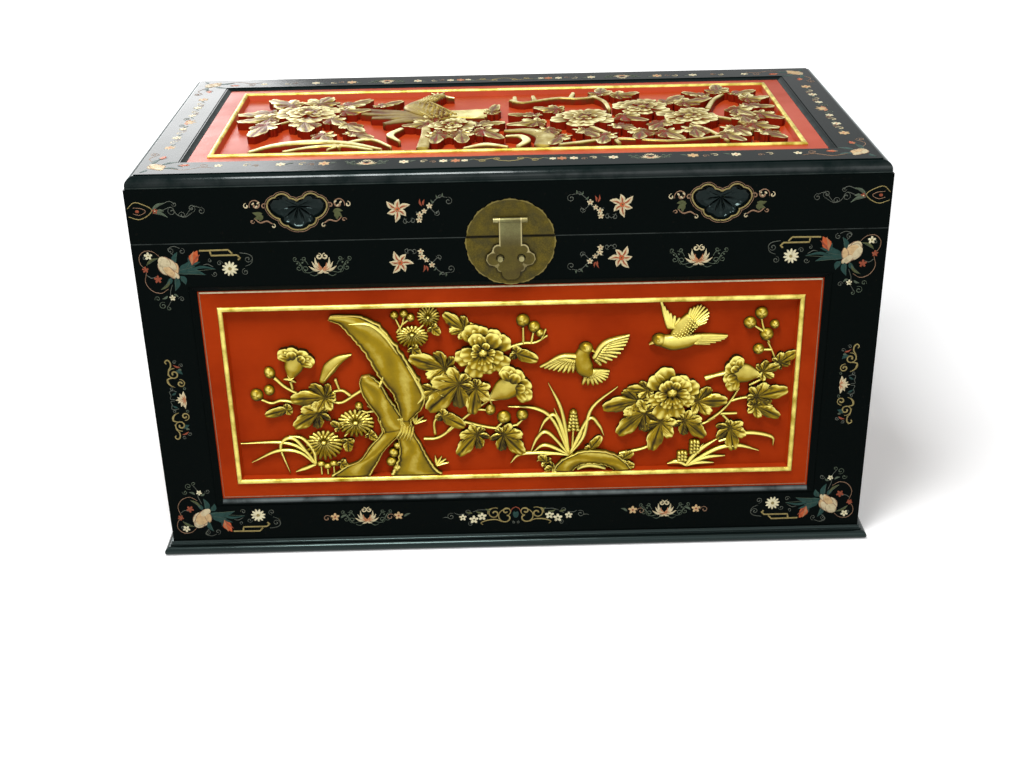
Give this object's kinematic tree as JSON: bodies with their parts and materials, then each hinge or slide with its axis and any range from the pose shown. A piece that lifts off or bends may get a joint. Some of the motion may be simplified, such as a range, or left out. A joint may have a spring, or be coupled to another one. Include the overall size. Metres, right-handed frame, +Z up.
{
  "type": "lacquered chest",
  "caption": "Black and red lacquered storage chest with a hinged lid, gilt carved panels, finger recesses and a round brass lock plate with a swinging hasp.",
  "frame": {"origin": "middle of the plinth's footprint on the floor", "axes": "+X to the right seen from the front, -Y out of the carved front, +Z up"},
  "size_m": [1.024, 0.544, 0.569],
  "materials": {
    "black_lacquer": "polished lacquer with painted ornament",
    "red_lacquer": "satin lacquer",
    "gilt_wood": "gilded carving",
    "brass": "dulled brass",
    "bare_wood": "plain planed wood"
  },
  "bodies": {
    "chest": {"back_lower_board": "black_lacquer", "back_upper_board": "black_lacquer", "body_hinge_leaves": "brass", "body_hinge_nails": "brass", "bottom_front_board": "bare_wood", "bottom_rear_board": "bare_wood", "front_bead": "gilt_wood", "front_bottom_rail": "black_lacquer", "front_carving": "gilt_wood", "front_left_stile": "black_lacquer", "front_panel": "red_lacquer", "front_right_stile": "black_lacquer", "front_top_rail": "black_lacquer", "hinge_pins": "brass", "left_end_bead": "gilt_wood", "left_end_bottom_rail": "black_lacquer", "left_end_carving": "gilt_wood", "left_end_front_stile": "black_lacquer", "left_end_panel": "red_lacquer", "left_end_rear_stile": "black_lacquer", "left_end_top_rail": "black_lacquer", "lock_lower_plate": "brass", "padlock_posts": "brass", "plinth_back": "black_lacquer", "plinth_front": "black_lacquer", "plinth_left": "black_lacquer", "plinth_right": "black_lacquer", "right_end_bead": "gilt_wood", "right_end_bottom_rail": "black_lacquer", "right_end_carving": "gilt_wood", "right_end_front_stile": "black_lacquer", "right_end_panel": "red_lacquer", "right_end_rear_stile": "black_lacquer", "right_end_top_rail": "black_lacquer"},
    "lid": {"lid_back": "black_lacquer", "lid_back_moulding": "black_lacquer", "lid_bead": "gilt_wood", "lid_carving": "gilt_wood", "lid_front": "black_lacquer", "lid_front_moulding": "black_lacquer", "lid_hinge_leaves": "brass", "lid_hinge_nails": "brass", "lid_left_end": "black_lacquer", "lid_left_moulding": "black_lacquer", "lid_panel": "red_lacquer", "lid_right_end": "black_lacquer", "lid_right_moulding": "black_lacquer", "lock_upper_plate": "brass", "hasp_eyes": "brass", "hasp_pin": "brass"},
    "hasp": {"hasp": "brass"}
  },
  "joints": [
    {"name": "lid_hinge", "type": "hinge", "parent": "chest", "child": "lid", "pos_m": [0, 0.254, 0.4783], "axis": [-1, 0, 0], "range_deg": [0, 100]},
    {"name": "hasp_swing", "type": "hinge", "parent": "lid", "child": "hasp", "pos_m": [0, -0.2652, 0.502], "axis": [-1, 0, 0], "range_deg": [0, 170]}
  ]
}
